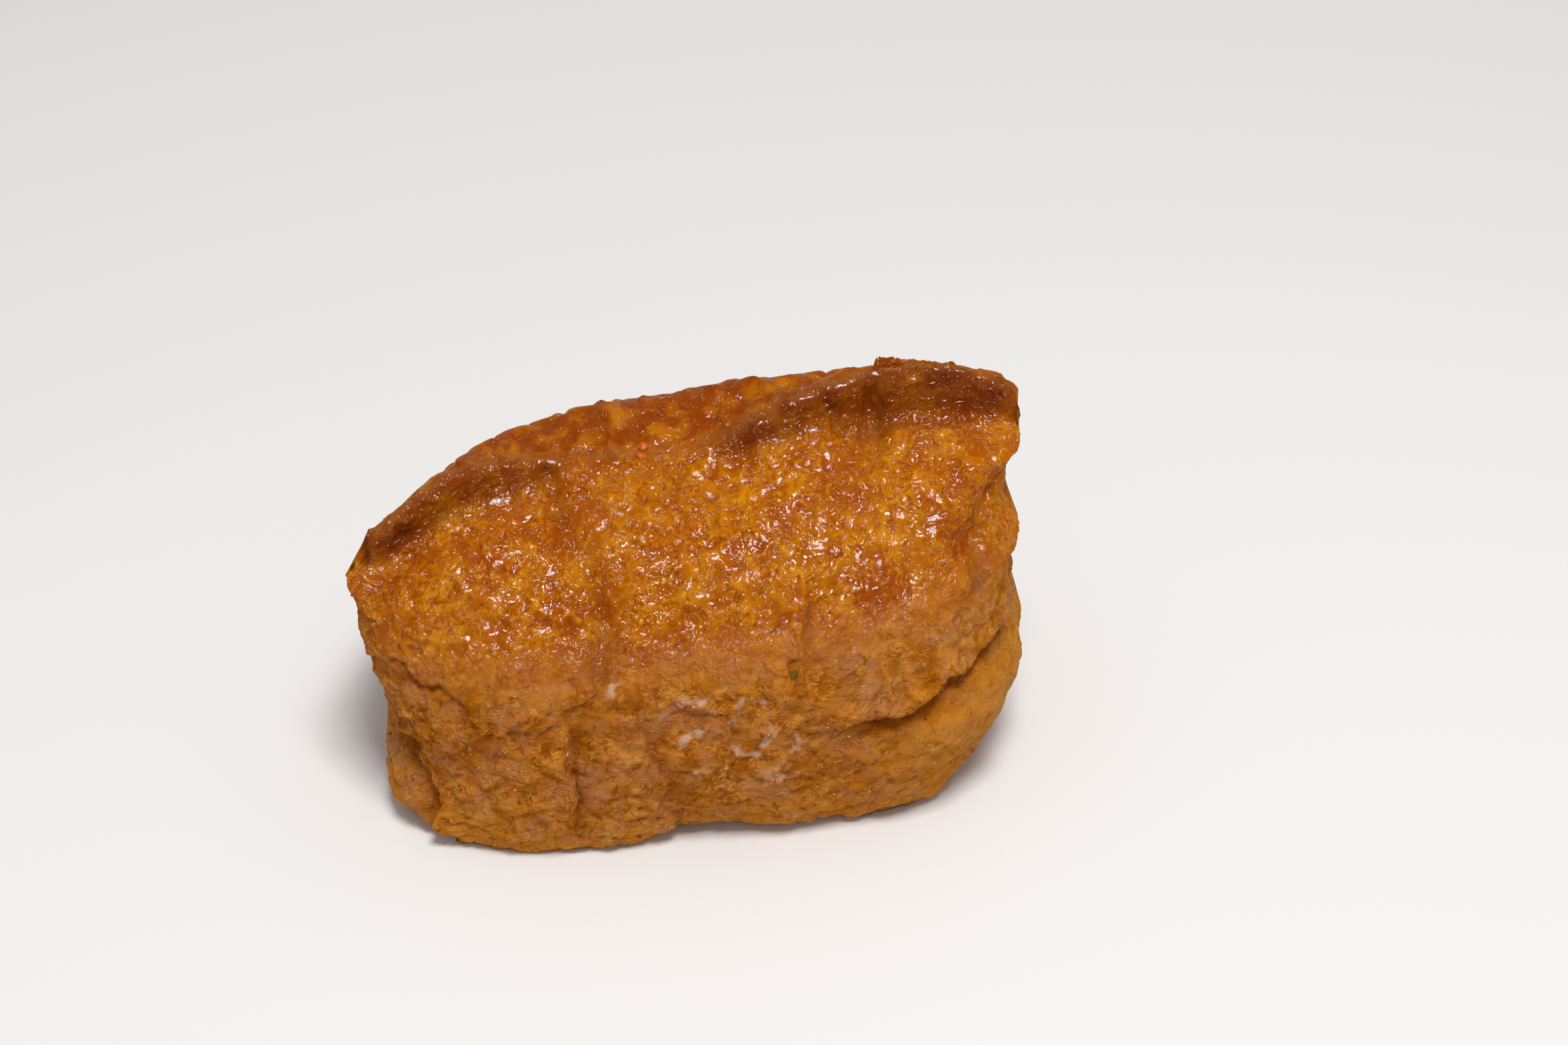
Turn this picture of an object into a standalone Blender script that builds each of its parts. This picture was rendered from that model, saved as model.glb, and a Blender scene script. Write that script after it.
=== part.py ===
"""Inari sushi: one whole pouch of fried tofu skin with rice packed inside it.

The pouch is a single solid that rests on its own flat base. +X runs along the pouch to the right,
+Y runs to its back and +Z is up. The origin is in the middle of the footprint, on the table.
The pouch is a loft: fourteen rails run along it, a closed curve joins them at every station, and
each curve narrows towards the two ends, where the skin closes in an upright seam. Folds, creases
and puckers are then pressed into that skin or raised from it.
"""

import bmesh
import bpy
import numpy as np

# Driving dimensions, in metres.
LENGTH = 0.0662
DEPTH = 0.0386
HEIGHT = 0.0386

# The skin's colour and finish.
SKIN_COLOUR = (0.50, 0.19, 0.035, 1.0)
SKIN_ROUGHNESS = 0.35

# Everything below is in millimetres. The finished loft is fitted to the driving dimensions.
MM = 0.001

# Where the cross-sections stand, from the left end at -1 to the right end at 1.
STATIONS = (-1.0, -0.8, -0.4, 0.0, 0.4, 0.8, 1.0)

# The rails, in order round the pouch from under it, up the front, over the seam ridge and down
# the back. Each has its steps to the next rail, its place across the pouch and its height.
RAILS = {
    "foot_middle": (
        5,
        (0.0, 0.0, 0.0, 0.0, 0.0, 0.0, 0.0),
        (0.0, 0.0, 0.0, 0.0, 0.0, 0.0, 0.0),
    ),
    "front_foot": (
        3,
        (-14.0, -16.6, -17.4, -16.2, -16.0, -14.0, -9.6),
        (0.8, 0.0, 0.0, 0.9, 0.3, 0.0, 0.6),
    ),
    "front_low": (
        4,
        (-16.0, -18.3, -18.8, -17.9, -17.8, -16.6, -12.8),
        (5.5, 3.5, 4.0, 4.5, 4.0, 4.0, 5.0),
    ),
    "front_belly": (
        6,
        (-16.5, -18.1, -18.7, -18.3, -18.0, -17.0, -14.5),
        (13.0, 12.0, 12.0, 12.0, 12.0, 13.0, 14.0),
    ),
    "shoulder": (
        6,
        (-13.5, -14.8, -14.8, -14.8, -14.5, -13.0, -11.0),
        (20.0, 20.8, 21.0, 21.5, 22.5, 24.0, 25.0),
    ),
    "upper": (
        5,
        (-10.0, -8.5, -7.0, -6.5, -6.0, -5.0, -4.0),
        (24.0, 26.5, 27.5, 28.2, 29.6, 31.3, 31.5),
    ),
    "valley": (
        3,
        (-7.0, -3.5, 0.0, 1.5, 3.0, 3.5, 3.0),
        (26.0, 28.0, 30.3, 31.0, 33.2, 33.4, 33.0),
    ),
    "crest_front": (
        2,
        (-6.5, -1.5, 2.5, 2.8, 4.2, 6.0, 5.5),
        (27.0, 31.9, 32.4, 31.7, 36.0, 37.5, 36.9),
    ),
    "crest_back": (
        3,
        (-5.0, -0.2, 4.0, 4.5, 5.7, 7.5, 7.0),
        (27.1, 32.0, 32.4, 31.9, 36.2, 37.7, 37.0),
    ),
    "rear_valley": (
        4,
        (-3.0, 1.5, 6.0, 7.0, 8.5, 10.0, 9.5),
        (25.5, 29.0, 30.8, 31.4, 34.5, 34.0, 33.0),
    ),
    "rear_top": (
        5,
        (5.0, 8.0, 12.0, 13.0, 13.0, 13.5, 12.0),
        (23.0, 27.3, 30.1, 31.2, 32.7, 31.3, 29.0),
    ),
    "rear_shoulder": (
        7,
        (12.0, 14.0, 16.6, 17.6, 17.8, 17.0, 15.0),
        (18.5, 20.7, 23.2, 24.3, 24.9, 24.2, 23.0),
    ),
    "rear_belly": (
        7,
        (14.0, 16.5, 18.3, 18.8, 18.8, 17.8, 16.0),
        (11.0, 11.0, 11.5, 12.0, 12.0, 12.0, 12.0),
    ),
    "rear_foot": (
        6,
        (12.0, 14.0, 15.8, 16.3, 16.0, 14.5, 12.0),
        (1.0, 0.0, 0.0, 0.0, 0.0, 0.0, 1.0),
    ),
}

# How far each end reaches from the middle, against height: (height, reach).
LEFT_REACH = (
    (0.0, 30.0), (3.0, 30.4), (7.0, 30.0), (9.5, 29.0), (12.0, 29.8), (16.0, 31.2),
    (21.0, 32.0), (24.5, 32.2), (26.5, 30.8), (29.0, 30.0), (33.0, 29.8),
)
RIGHT_REACH = (
    (0.0, 30.6), (4.0, 32.0), (9.0, 32.8), (13.0, 33.0), (17.0, 32.1), (20.0, 31.1),
    (23.0, 30.3), (26.0, 31.3), (28.0, 30.8), (30.0, 29.6), (32.0, 31.2), (35.0, 32.0), (38.0, 31.3),
)

# Plan shape: a rounded box between an ellipse (2) and a square box (large).
END_SQUARENESS = 3.6
LEFT_SEAM_Y = -3.0
RIGHT_SEAM_Y = 4.0
END_SEAM_WIDTH = 0.26  # width of the last section, as a part of the full section
STATION_COUNT = 75

# Folds and creases: depth below the skin (a negative one stands proud), half width, route.
FOLDS = {
    "centre_groove": (0.9, 1.1, ((-13, 1, 31), (-12, -4, 29), (-9, -10, 26), (-9, -15, 21),
                                 (-13, -17, 16), (-13, -18, 10), (-13, -18, 2))),
    "waist_left": (0.8, 1.2, ((-30, -9, 15), (-24, -15, 16), (-17, -17, 16), (-12, -17, 17),
                              (-8, -16, 19))),
    "waist_right": (0.4, 1.2, ((-8, -16, 19), (3, -17, 18), (9, -16, 19), (17, -17, 15))),
    "right_groove": (0.5, 0.9, ((9, -13, 25), (10, -15, 21), (9, -16, 18))),
    "low_middle_groove": (0.7, 1.1, ((-4, -18, 15), (-4, -18, 10), (-2, -17, 2))),
    "flap_edge": (1.1, 1.0, ((16, -17, 13), (20, -16, 15), (24, -14, 17), (28, -11, 18),
                             (31, -7, 20), (32, -2, 21))),
    "right_corner_groove": (0.9, 1.3, ((31, 3, 30), (30, -2, 30), (28, -5, 29), (27, -8, 27),
                                       (27, -10, 23))),
    "left_tuck": (1.1, 1.1, ((-30, -10, 12), (-28, -11, 9), (-26, -14, 8), (-25, -15, 5),
                             (-24, -16, 1))),
    "left_fin_hollow": (0.6, 1.4, ((-29, -7, 26), (-26, -5, 28), (-22, -3, 30), (-17, -1, 31))),
    "right_fin_hollow": (0.9, 1.6, ((9, 2, 33), (14, 3, 34), (20, 3, 34), (26, 3, 34))),
    "back_crease_left": (0.5, 0.9, ((-16, 9, 30), (-13, 2, 31))),
    "back_crease_middle": (0.6, 0.9, ((-8, 12, 29), (-7, 9, 31), (-6, 3, 31))),
    "rear_waist": (0.7, 1.4, ((-27, 13, 15), (-12, 18, 16), (6, 19, 17), (24, 16, 15))),
    "rear_groove_left": (0.6, 1.2, ((-16, 16, 22), (-14, 18, 14), (-16, 17, 4))),
    "rear_groove_right": (0.6, 1.2, ((12, 18, 22), (15, 18, 12), (13, 17, 4))),
}

# Puffs and puckers: height above the skin, half width, route.
PUFFS = {
    "flap_lobe": (0.9, 4.0, ((22, -16, 10), (27, -13, 11), (31, -8, 12))),
    "left_nub": (1.6, 1.3, ((-32, -6, 25), (-32, -5, 25))),
    "left_foot_lobe": (1.3, 2.4, ((-28, -12, 4), (-26, -15, 2))),
    "belly_puff": (0.7, 5.0, ((-3, -8, 27), (5, -9, 27))),
    "left_puff": (0.6, 5.0, ((-20, -9, 26), (-16, -9, 26))),
    "torn_lip": (1.6, 0.9, ((17.5, 5.5, 38), (19.0, 6.0, 38))),
    "right_ear_corner": (0.6, 1.5, ((30, 6, 36), (31, 4, 34))),
}

# Below this height the skin lies flat on the table.
SEAT_HEIGHT = 0.35


def smooth_curve(knots, values, at):
    """A cubic through each (knot, value), with the slope at a knot taken from its neighbours."""
    knots = np.asarray(knots, float)
    values = np.asarray(values, float)
    slopes = np.gradient(values, knots)
    span = np.clip(np.searchsorted(knots, at) - 1, 0, len(knots) - 2)
    width = knots[span + 1] - knots[span]
    t = np.clip((at - knots[span]) / width, 0, 1)
    start = (2 * t**3 - 3 * t**2 + 1) * values[span]
    leave = (t**3 - 2 * t**2 + t) * width * slopes[span]
    end = (3 * t**2 - 2 * t**3) * values[span + 1]
    arrive = (t**3 - t**2) * width * slopes[span + 1]
    return start + leave + end + arrive


def closed_spline(rails, steps):
    """A closed Catmull-Rom curve through the rails; every span has its own count of steps.

    Spans count by the square root of their length, which keeps the curve from looping.
    """
    softening = 0.3
    count = len(rails)
    rows = []
    for index in range(count):
        before = rails[index - 1]
        start = rails[index]
        end = rails[(index + 1) % count]
        after = rails[(index + 2) % count]
        reach = [
            np.sqrt(np.linalg.norm(b - a, axis=-1, keepdims=True) + softening)
            for a, b in ((before, start), (start, end), (end, after))
        ]
        chord = (end - start) / reach[1]
        leave = (start - before) / reach[0] - (end - before) / (reach[0] + reach[1]) + chord
        arrive = chord - (after - start) / (reach[1] + reach[2]) + (after - end) / reach[2]
        for t in np.arange(steps[index]) / steps[index]:
            rows.append(
                (2 * t**3 - 3 * t**2 + 1) * start
                + (t**3 - 2 * t**2 + t) * leave * reach[1]
                + (3 * t**2 - 2 * t**3) * end
                + (t**3 - t**2) * arrive * reach[1]
            )
    return np.array(rows)


def stations_along():
    """Evenly spread places along the rounded plan outline, and the section's width at each."""
    angle = np.linspace(0, np.pi, 4001)
    along = -np.sign(np.cos(angle)) * np.abs(np.cos(angle)) ** (2 / END_SQUARENESS)
    width = np.abs(np.sin(angle)) ** (2 / END_SQUARENESS)
    keep = width >= END_SEAM_WIDTH
    along = along[keep]
    width = width[keep]
    half_length = LENGTH / MM / 2
    half_depth = DEPTH / MM / 2
    travel = np.hypot(np.diff(along * half_length), np.diff(width * half_depth))
    travel = np.concatenate([[0], np.cumsum(travel)])
    even = np.linspace(0, travel[-1], STATION_COUNT)
    return np.interp(even, travel, along), np.interp(even, travel, width)


def pouch_skin():
    """The smooth skin as points of a (round, along) grid."""
    along, width = stations_along()
    seam = np.interp(along, (-1, 1), (LEFT_SEAM_Y, RIGHT_SEAM_Y))
    rails = []
    for steps, across, height in RAILS.values():
        y = smooth_curve(STATIONS, across, along)
        z = smooth_curve(STATIONS, height, along)
        rails.append(np.stack([seam + (y - seam) * width, z], axis=-1))
    loop = closed_spline(np.array(rails), [rail[0] for rail in RAILS.values()])
    y, z = loop[..., 0], loop[..., 1]
    left_z, left_reach = zip(*LEFT_REACH)
    right_z, right_reach = zip(*RIGHT_REACH)
    reach = np.where(along < 0, smooth_curve(left_z, left_reach, z), smooth_curve(right_z, right_reach, z))
    return np.stack([along * reach, y, z], axis=-1)


def outward(points):
    """Unit directions out of the skin, from the differences between neighbouring points."""
    round_step = np.roll(points, -1, axis=0) - np.roll(points, 1, axis=0)
    along_step = np.gradient(points, axis=1)
    normal = np.cross(along_step, round_step)
    return normal / np.maximum(np.linalg.norm(normal, axis=-1, keepdims=True), 1e-9)


def distance_to_route(points, route):
    """The distance of each point to a chain of straight stretches."""
    nearest = np.full(points.shape[:-1], np.inf)
    route = np.asarray(route, float)
    for start, end in zip(route[:-1], route[1:]):
        stretch = end - start
        t = np.clip((points - start) @ stretch / (stretch @ stretch), 0, 1)
        away = np.linalg.norm(points - start - t[..., None] * stretch, axis=-1)
        nearest = np.minimum(nearest, away)
    return nearest


def shape_skin(points):
    """Presses the folds in and raises the puffs, each fading as a bell curve from its route."""
    normal = outward(points)
    push = np.zeros(points.shape[:-1])
    for depth, half_width, route in FOLDS.values():
        push -= depth * np.exp(-((distance_to_route(points, route) / half_width) ** 2))
    for height, half_width, route in PUFFS.values():
        push += height * np.exp(-((distance_to_route(points, route) / half_width) ** 2))
    return points + normal * push[..., None]


def fit_to_size(points):
    """Scales to the driving dimensions, centres the footprint and flattens the base at zero."""
    seated = points.copy()
    seated[..., 2] = np.where(seated[..., 2] < SEAT_HEIGHT, 0, seated[..., 2])
    low = seated.min(axis=(0, 1))
    high = seated.max(axis=(0, 1))
    middle = np.array([(low[0] + high[0]) / 2, (low[1] + high[1]) / 2, 0])
    size = np.array([LENGTH, DEPTH, HEIGHT])
    return (seated - middle) * size / (high - low)


def skin_mesh(points):
    """Rings of faces along the pouch, and a ladder of faces over the seam at each end."""
    mesh = bpy.data.meshes.new("pouch")
    build = bmesh.new()
    around, along = points.shape[:2]
    grid = [[build.verts.new(point) for point in row] for row in points]
    for i in range(around):
        above = (i + 1) % around
        for j in range(along - 1):
            build.faces.new((grid[i][j], grid[i][j + 1], grid[above][j + 1], grid[above][j]))
    for end in (0, along - 1):
        for i in range(around // 2):
            corners = [grid[i][end], grid[i + 1][end], grid[-i - 1][end], grid[-i % around][end]]
            build.faces.new(dict.fromkeys(corners))
    bmesh.ops.triangulate(build, faces=build.faces)
    bmesh.ops.recalc_face_normals(build, faces=build.faces)
    build.to_mesh(mesh)
    build.free()
    mesh.shade_smooth()
    return mesh


def skin_material():
    """Glossy soy-glazed tofu skin."""
    material = bpy.data.materials.new("tofu_skin")
    material.use_nodes = True
    shader = material.node_tree.nodes["Principled BSDF"]
    shader.inputs["Base Color"].default_value = SKIN_COLOUR
    shader.inputs["Roughness"].default_value = SKIN_ROUGHNESS
    shader.inputs["Metallic"].default_value = 0.0
    return material


def clear_scene():
    for thing in list(bpy.data.objects):
        bpy.data.objects.remove(thing)


def main():
    clear_scene()
    skin = fit_to_size(shape_skin(pouch_skin()))
    pouch = bpy.data.objects.new("pouch", skin_mesh(skin))
    pouch.data.materials.append(skin_material())
    bpy.context.scene.collection.objects.link(pouch)


main()
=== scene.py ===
"""Inari sushi: a whole pouch of fried tofu skin, simmered in soy and packed with rice."""

import bpy
import numpy as np
from mathutils import Matrix, Vector


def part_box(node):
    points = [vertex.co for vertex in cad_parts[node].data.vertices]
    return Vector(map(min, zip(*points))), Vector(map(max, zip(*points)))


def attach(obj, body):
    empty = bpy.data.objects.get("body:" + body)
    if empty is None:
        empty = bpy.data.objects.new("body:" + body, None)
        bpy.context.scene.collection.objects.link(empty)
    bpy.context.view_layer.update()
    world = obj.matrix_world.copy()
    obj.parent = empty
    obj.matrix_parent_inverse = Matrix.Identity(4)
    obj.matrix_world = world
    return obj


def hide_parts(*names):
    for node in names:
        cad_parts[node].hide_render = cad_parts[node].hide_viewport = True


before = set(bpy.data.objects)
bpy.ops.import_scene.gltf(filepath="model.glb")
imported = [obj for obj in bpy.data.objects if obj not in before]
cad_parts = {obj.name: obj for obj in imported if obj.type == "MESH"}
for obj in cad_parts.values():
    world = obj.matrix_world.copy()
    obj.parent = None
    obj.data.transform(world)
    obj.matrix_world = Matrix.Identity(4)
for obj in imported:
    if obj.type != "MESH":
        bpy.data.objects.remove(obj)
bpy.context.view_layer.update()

# ---------------------------------------------------------------------------------------------
# The tofu skin
#
# One half sheet of fried tofu, opened into a pouch, packed with rice and stood on its filled
# base. The closed edges of the sheet make the pinched ridge along the top, with an ear at each
# end, and the skin's glaze of soy and sugar catches the light on every wrinkle.

MM = 0.001
STATIONS = (-1.0, -0.8, -0.4, 0.0, 0.4, 0.8, 1.0)

# Rails along the pouch, in order round it from under it, up the front, over the ridge and down
# the back: steps to the next rail, place across the pouch and height at each station, in mm.
RAILS = {
    "foot_middle": (
        12,
        (0.0, 0.0, 0.0, 0.0, 0.0, 0.0, 0.0),
        (0.0, 0.0, 0.0, 0.0, 0.0, 0.0, 0.0),
    ),
    "front_foot": (
        16,
        (-14.0, -16.6, -17.4, -16.2, -16.0, -14.0, -9.6),
        (0.8, 0.0, 0.0, 0.9, 0.3, 0.0, 0.6),
    ),
    "front_low": (
        28,
        (-16.0, -18.3, -18.8, -17.9, -17.8, -16.6, -12.8),
        (5.5, 3.5, 4.0, 4.5, 4.0, 4.0, 5.0),
    ),
    "front_belly": (
        36,
        (-16.5, -18.1, -18.7, -18.3, -18.0, -17.0, -14.5),
        (13.0, 12.0, 12.0, 12.0, 12.0, 13.0, 14.0),
    ),
    "shoulder": (
        42,
        (-13.5, -14.8, -14.8, -14.8, -14.5, -13.0, -11.0),
        (20.0, 20.8, 21.0, 21.5, 22.5, 24.0, 25.0),
    ),
    "upper": (
        34,
        (-10.0, -8.5, -7.0, -6.5, -6.0, -5.0, -4.0),
        (24.0, 26.5, 27.5, 28.2, 29.6, 31.3, 31.5),
    ),
    "valley": (
        18,
        (-7.0, -2.6, 0.8, 1.5, 3.0, 3.5, 3.0),
        (26.0, 28.8, 30.7, 31.0, 33.2, 33.4, 33.0),
    ),
    "crest_front": (
        8,
        (-6.5, -1.5, 2.5, 2.8, 4.2, 6.0, 5.5),
        (29.4, 32.2, 31.7, 31.4, 36.5, 37.7, 35.4),
    ),
    "crest_back": (
        18,
        (-5.0, -0.2, 4.0, 4.8, 5.7, 7.0, 6.6),
        (29.5, 32.4, 31.6, 31.5, 36.5, 37.7, 35.4),
    ),
    "rear_valley": (
        22,
        (-3.0, 1.5, 6.0, 7.0, 8.5, 10.0, 9.5),
        (25.5, 29.0, 30.8, 31.4, 34.5, 34.0, 33.0),
    ),
    "rear_top": (
        24,
        (4.0, 7.5, 12.0, 13.0, 13.0, 13.5, 12.0),
        (21.5, 26.9, 30.1, 31.2, 32.7, 31.3, 29.0),
    ),
    "rear_shoulder": (
        34,
        (12.0, 14.0, 16.6, 17.6, 17.8, 17.0, 15.0),
        (18.5, 20.7, 23.2, 24.3, 24.9, 24.2, 23.0),
    ),
    "rear_belly": (
        30,
        (14.0, 16.5, 18.3, 18.8, 18.8, 17.8, 16.0),
        (11.0, 11.0, 11.5, 12.0, 12.0, 12.0, 12.0),
    ),
    "rear_foot": (
        10,
        (12.0, 14.0, 15.8, 16.3, 16.0, 14.5, 12.0),
        (1.0, 0.0, 0.0, 0.0, 0.0, 0.0, 1.0),
    ),
}

# How far each end reaches from the middle, against height: (height, reach), in mm.
LEFT_REACH = (
    (0.0, 30.0), (3.0, 30.4), (7.0, 30.0), (9.5, 29.0), (12.0, 29.8), (16.0, 31.2),
    (21.0, 31.6), (24.5, 31.7), (26.5, 30.6), (29.0, 30.2), (33.0, 30.0),
)
RIGHT_REACH = (
    (0.0, 29.8), (4.0, 31.3), (9.0, 32.4), (13.0, 32.6), (17.0, 31.9), (20.0, 31.3),
    (22.5, 31.6), (24.5, 31.8), (27.2, 30.2), (29.3, 31.0), (31.5, 32.0), (34.5, 32.3),
    (38.0, 30.8),
)

# Plan shape: a rounded box between an ellipse (2) and a square box (large).
END_SQUARENESS = 3.6
LEFT_SEAM_Y = -3.0
RIGHT_SEAM_Y = 4.0
END_SEAM_WIDTH = 0.26
STATION_COUNT = 298

# What brings the finished skin into the pouch's box: a small shift and stretch.
LOFT_MIDDLE = (-0.12, 0.0, 0.0)
LOFT_STRETCH = (1.0, 1.018, 1.0)

# Folds and creases: depth below the skin, half width, route, in mm.
FOLDS = {
    "centre_groove": (0.95, 1.2, ((-13, 1, 31), (-12, -4, 29), (-9, -10, 26), (-8.5, -13, 23),
                                 (-9.5, -15.5, 20.5))),
    "under_ear_notch": (0.9, 1.1, ((18.1, 4.3, 35.6), (18.2, 2.9, 33.1), (18.4, 1.1, 32.0))),
    "right_corner_groove": (0.9, 1.3, ((31, 3, 30), (30, -2, 30), (28, -5, 29), (27, -8, 27),
                                       (27, -10, 23))),
    "left_fin_hollow": (0.6, 1.4, ((-29, -7, 26), (-26, -5, 28), (-22, -3, 30), (-17, -1, 31))),
    "right_fin_hollow": (0.9, 1.6, ((9, 2, 33), (14, 3, 34), (20, 3, 34), (26, 3, 34))),
    "back_crease_left": (0.5, 0.9, ((-16, 9, 30), (-13, 2, 31))),
    "back_crease_in_cell": (0.35, 0.5, ((-10.5, 8.7, 30.7), (-11.7, 2, 31.9))),
    "back_crease_middle": (0.35, 0.5, ((-0.7, 12.5, 31), (-0.3, 5.3, 31.7))),
    "slope_crease_level": (0.3, 0.6, ((-2.7, -11.3, 24.9), (1.7, -14.2, 22.4), (8.1, -14, 22.9))),
    "slope_crease_left": (0.3, 0.6, ((-21.4, -9.9, 25.5), (-17.8, -12, 23.8))),
    "rear_waist": (0.7, 1.4, ((-27, 13, 15), (-12, 18, 16), (6, 19, 17), (24, 16, 15))),
    "rear_groove_left": (0.35, 1.4, ((-16, 16, 22), (-14, 18, 14), (-16, 17, 4))),
    "rear_groove_right": (0.35, 1.4, ((12, 18, 22), (15, 18, 12), (13, 17, 4))),
}

# Puffs and puckers: height above the skin, half width, route, in mm.
PUFFS = {
    "flap_lobe": (0.9, 4.0, ((22, -16, 10), (27, -13, 11), (31, -8, 12))),
    "left_nub": (1.2, 1.2, ((-32, -6, 25), (-32, -5, 25))),
    "left_foot_lobe": (1.3, 2.4, ((-28, -12, 4), (-26, -15, 2))),
    "belly_puff": (0.7, 5.0, ((-3, -8, 27), (5, -9, 27))),
    "left_puff": (0.6, 5.0, ((-20, -9, 26), (-16, -9, 26))),
    "under_ear_puff": (1.0, 2.0, ((8, 2.2, 32.6), (12.5, 2.6, 33.2))),
    "under_ear_puff_right": (0.9, 1.7, ((20.5, 1.9, 32.6), (25, 1.8, 32.8))),
    "rear_fold": (0.5, 1.2, ((0.7, 11.1, 31.4), (10.4, 9.9, 33.6), (17.0, 6.5, 37.0))),
    "rear_fold_near_crest": (0.4, 0.9, ((5.7, 13.4, 31.5), (8.5, 9.0, 33.5), (10, 5.5, 35.7))),
    "right_ear_corner": (0.6, 1.5, ((30, 6, 36), (31, 4, 34))),
}

# Laps, where one layer of skin hangs over the next: drop, fade, the side that lies lower, route,
# in mm.
DOWN = (0, -0.3, -1)
REAR_DOWN = (0, 0.3, -1)
LEFTWARD = (-1, -0.3, 0)
RIGHTWARD = (1, -0.3, 0)
LAPS = {
    "flap": (1.5, 3.2, DOWN, ((16, -17, 13.7), (18, -16.6, 14.2), (21, -16, 14.5), (22, -15, 15.6),
                              (24, -14, 16.4), (27, -11.5, 17.4), (29.5, -8, 18), (31, -4, 20))),
    "left_shelf": (0.3, 1.6, DOWN, ((-28, -12.4, 13.5), (-25, -14.9, 12.6), (-23.3, -15.9, 12.0),
                                    (-21.2, -16.7, 13.6), (-19.7, -16.7, 15.3), (-16.2, -17.3, 15.3),
                                    (-13, -17.3, 16))),
    "left_fold": (0.4, 1.6, DOWN, ((-28, -12, 20), (-25.7, -13.6, 19.0), (-24.4, -14, 19.4),
                                   (-23, -15, 18.2), (-21, -16.4, 15.8))),
    "left_tuck": (1.3, 2.0, LEFTWARD, ((-28.7, -10.5, 11.6), (-27.4, -12, 9.4), (-25.7, -14.3, 8.6),
                                       (-25.2, -15.1, 6.5), (-25.1, -14.8, 3), (-24, -14.6, 0.5))),
    "centre": (0.6, 1.4, RIGHTWARD, ((-10.6, -16.2, 19.0), (-12.5, -16.9, 17), (-13.2, -17.7, 14.5),
                                     (-12.8, -18.2, 12.6), (-12.0, -18.6, 10.5), (-11.9, -18.7, 7.6),
                                     (-12.1, -18.5, 4))),
    "low_middle": (0.6, 1.6, RIGHTWARD, ((-6.5, -17.6, 15.5), (-5.4, -18, 14), (-4.6, -18.5, 11),
                                         (-3.7, -18.4, 8), (-2.6, -17.3, 3))),
    "middle_shelf": (0.12, 1.2, DOWN, ((-12, -17, 17), (-8.5, -17.3, 16.5), (-6, -17.6, 15.8),
                                      (-2.8, -17, 17.2), (3, -17, 17))),
    "slope_crease": (0.5, 1.4, RIGHTWARD, ((9.9, -11.8, 25.2), (9.5, -14.6, 22.2), (8.7, -16, 19.5))),
    "back_cell": (0.55, 1.6, LEFTWARD, ((-9.0, 16, 26), (-8.2, 12.5, 29.8), (-7.4, 10, 31),
                                        (-6.8, 6.5, 31.2), (-6.6, 3, 31.4))),
    "rear_skirt": (0.9, 2.6, REAR_DOWN, ((-30, 9, 17), (-22, 15.5, 14), (-10, 18.5, 15.5),
                                         (4, 19, 13.5), (16, 18, 15), (27, 12.5, 13))),
    "rear_tuck_left": (0.4, 1.8, RIGHTWARD, ((-9, 17, 22), (-10, 18.5, 15), (-8.5, 18.5, 8),
                                             (-9.5, 17, 2))),
    "rear_tuck_right": (0.4, 1.8, LEFTWARD, ((12, 17.5, 24), (13.5, 18.5, 16), (12, 18.5, 9), (13, 17, 2))),
    "right_end_fold": (0.8, 1.8, DOWN, ((31, -3, 24), (32, 3, 22), (30, 9, 21), (26, 13, 22))),
    "left_end_fold": (0.7, 1.8, DOWN, ((-31, -8, 19), (-32, -3, 20.5), (-31, 4, 19), (-28, 10, 20))),
    "back_cell_right": (0.4, 1.4, LEFTWARD, ((3.4, 11, 32), (3.8, 7, 32.6), (4.4, 4.6, 33.2))),
}
SEAT_HEIGHT = 0.3


def smooth_curve(knots, values, at):
    """A cubic through each (knot, value), with the slope at a knot taken from its neighbours."""
    knots = np.asarray(knots, float)
    values = np.asarray(values, float)
    slopes = np.gradient(values, knots)
    span = np.clip(np.searchsorted(knots, at) - 1, 0, len(knots) - 2)
    width = knots[span + 1] - knots[span]
    t = np.clip((at - knots[span]) / width, 0, 1)
    start = (2 * t**3 - 3 * t**2 + 1) * values[span]
    leave = (t**3 - 2 * t**2 + t) * width * slopes[span]
    end = (3 * t**2 - 2 * t**3) * values[span + 1]
    arrive = (t**3 - t**2) * width * slopes[span + 1]
    return start + leave + end + arrive


def closed_spline(rails, steps):
    """A closed Catmull-Rom curve through the rails, whose spans count by the root of their length."""
    softening = 0.3
    count = len(rails)
    rows = []
    for index in range(count):
        before = rails[index - 1]
        start = rails[index]
        end = rails[(index + 1) % count]
        after = rails[(index + 2) % count]
        reach = [
            np.sqrt(np.linalg.norm(b - a, axis=-1, keepdims=True) + softening)
            for a, b in ((before, start), (start, end), (end, after))
        ]
        chord = (end - start) / reach[1]
        leave = (start - before) / reach[0] - (end - before) / (reach[0] + reach[1]) + chord
        arrive = chord - (after - start) / (reach[1] + reach[2]) + (after - end) / reach[2]
        t = (np.arange(steps[index]) / steps[index])[:, None, None]
        rows.append(
            (2 * t**3 - 3 * t**2 + 1) * start
            + (t**3 - 2 * t**2 + t) * leave * reach[1]
            + (3 * t**2 - 2 * t**3) * end
            + (t**3 - t**2) * arrive * reach[1]
        )
    return np.concatenate(rows)


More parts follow.
